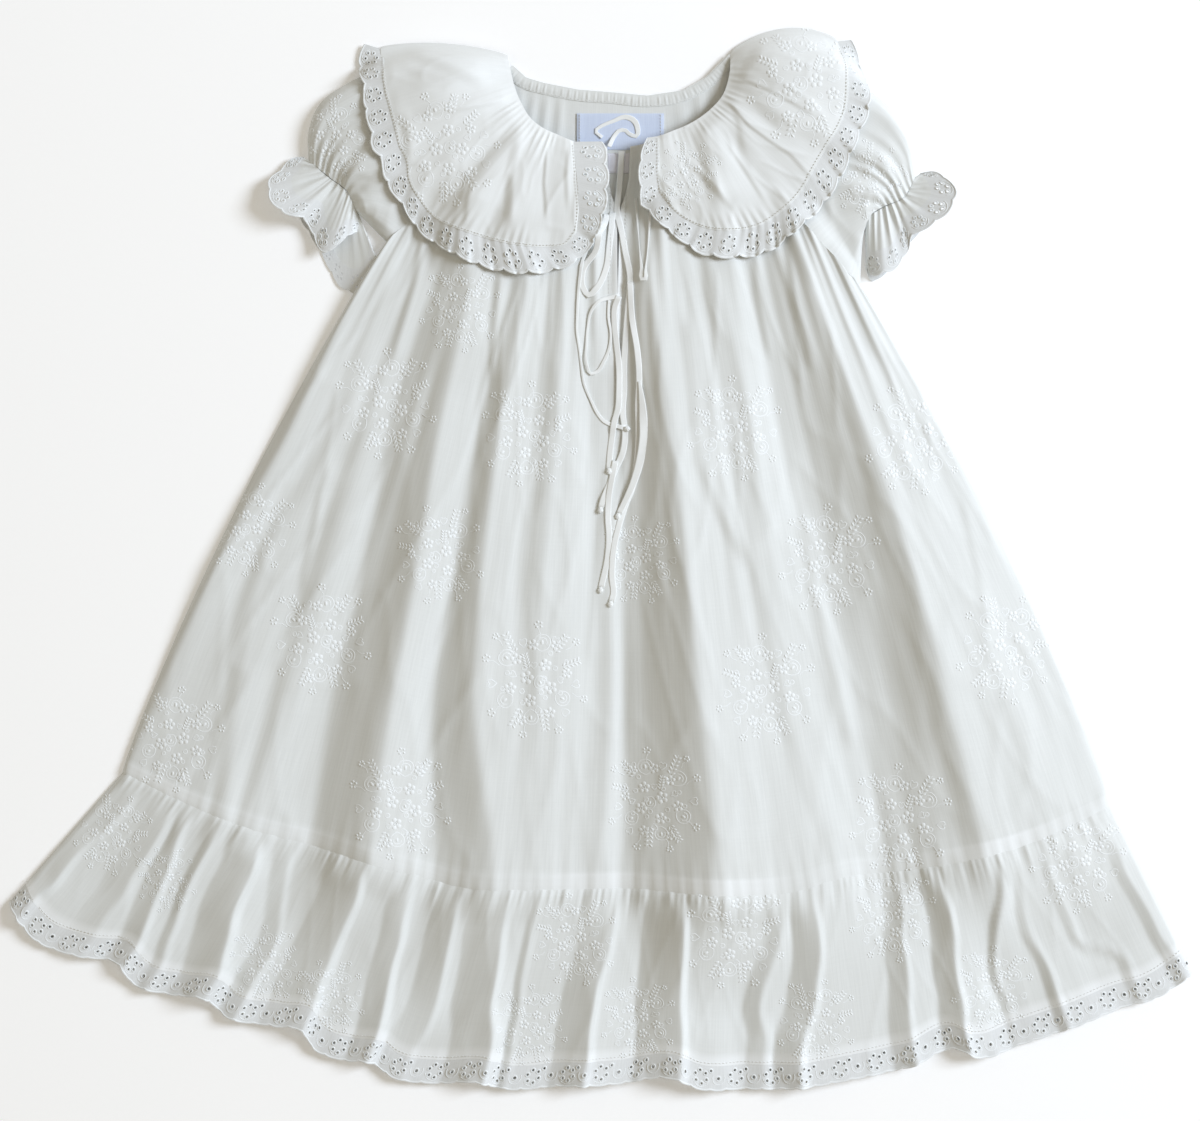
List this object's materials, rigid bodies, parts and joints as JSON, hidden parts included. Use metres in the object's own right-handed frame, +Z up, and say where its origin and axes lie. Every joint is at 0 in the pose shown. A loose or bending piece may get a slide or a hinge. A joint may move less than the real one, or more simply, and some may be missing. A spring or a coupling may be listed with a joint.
{
  "type": "baby's daygown",
  "caption": "Short-sleeved white cotton baby's daygown laid flat, with a wide frilled collar, a gathered skirt, a frilled hem with eyelet trim, and thin ties at the front slit.",
  "frame": {"origin": "on the surface it lies on, under the middle of its bounding box", "axes": "+Z up out of the surface and the front of the gown, +Y towards the neck, +X towards the gown's left sleeve as the viewer's right"},
  "size_m": [0.656, 0.5861, 0.0279],
  "materials": {
    "cotton_voile": "matte",
    "eyelet_trim": "matte",
    "label_blue": "satin",
    "label_white": "satin",
    "rouleau_tie": "matte"
  },
  "bodies": {
    "root": {"front_panel": "cotton_voile", "back_panel": "cotton_voile", "front_frill": "cotton_voile", "back_frill": "cotton_voile", "sleeve_left": "cotton_voile", "sleeve_right": "cotton_voile", "cuff_frill_left": "cotton_voile", "cuff_frill_right": "cotton_voile", "collar_left": "cotton_voile", "collar_right": "cotton_voile", "collar_back": "cotton_voile", "neck_casing": "cotton_voile", "front_hem_trim": "eyelet_trim", "back_hem_trim": "eyelet_trim", "cuff_trim_left": "eyelet_trim", "cuff_trim_right": "eyelet_trim", "collar_trim_left": "eyelet_trim", "collar_trim_right": "eyelet_trim", "collar_trim_back": "eyelet_trim", "neck_label": "label_blue", "size_label": "label_white", "tie_neck_loop": "rouleau_tie", "tie_long_middle": "rouleau_tie", "tie_bow_loop_left": "rouleau_tie", "tie_tail_left": "rouleau_tie", "tie_bow_loop_low": "rouleau_tie", "tie_tail_centre": "rouleau_tie", "tie_bow_loop_right": "rouleau_tie", "tie_tail_short": "rouleau_tie", "tie_tail_right": "rouleau_tie", "tie_tail_outer": "rouleau_tie"}
  },
  "joints": []
}
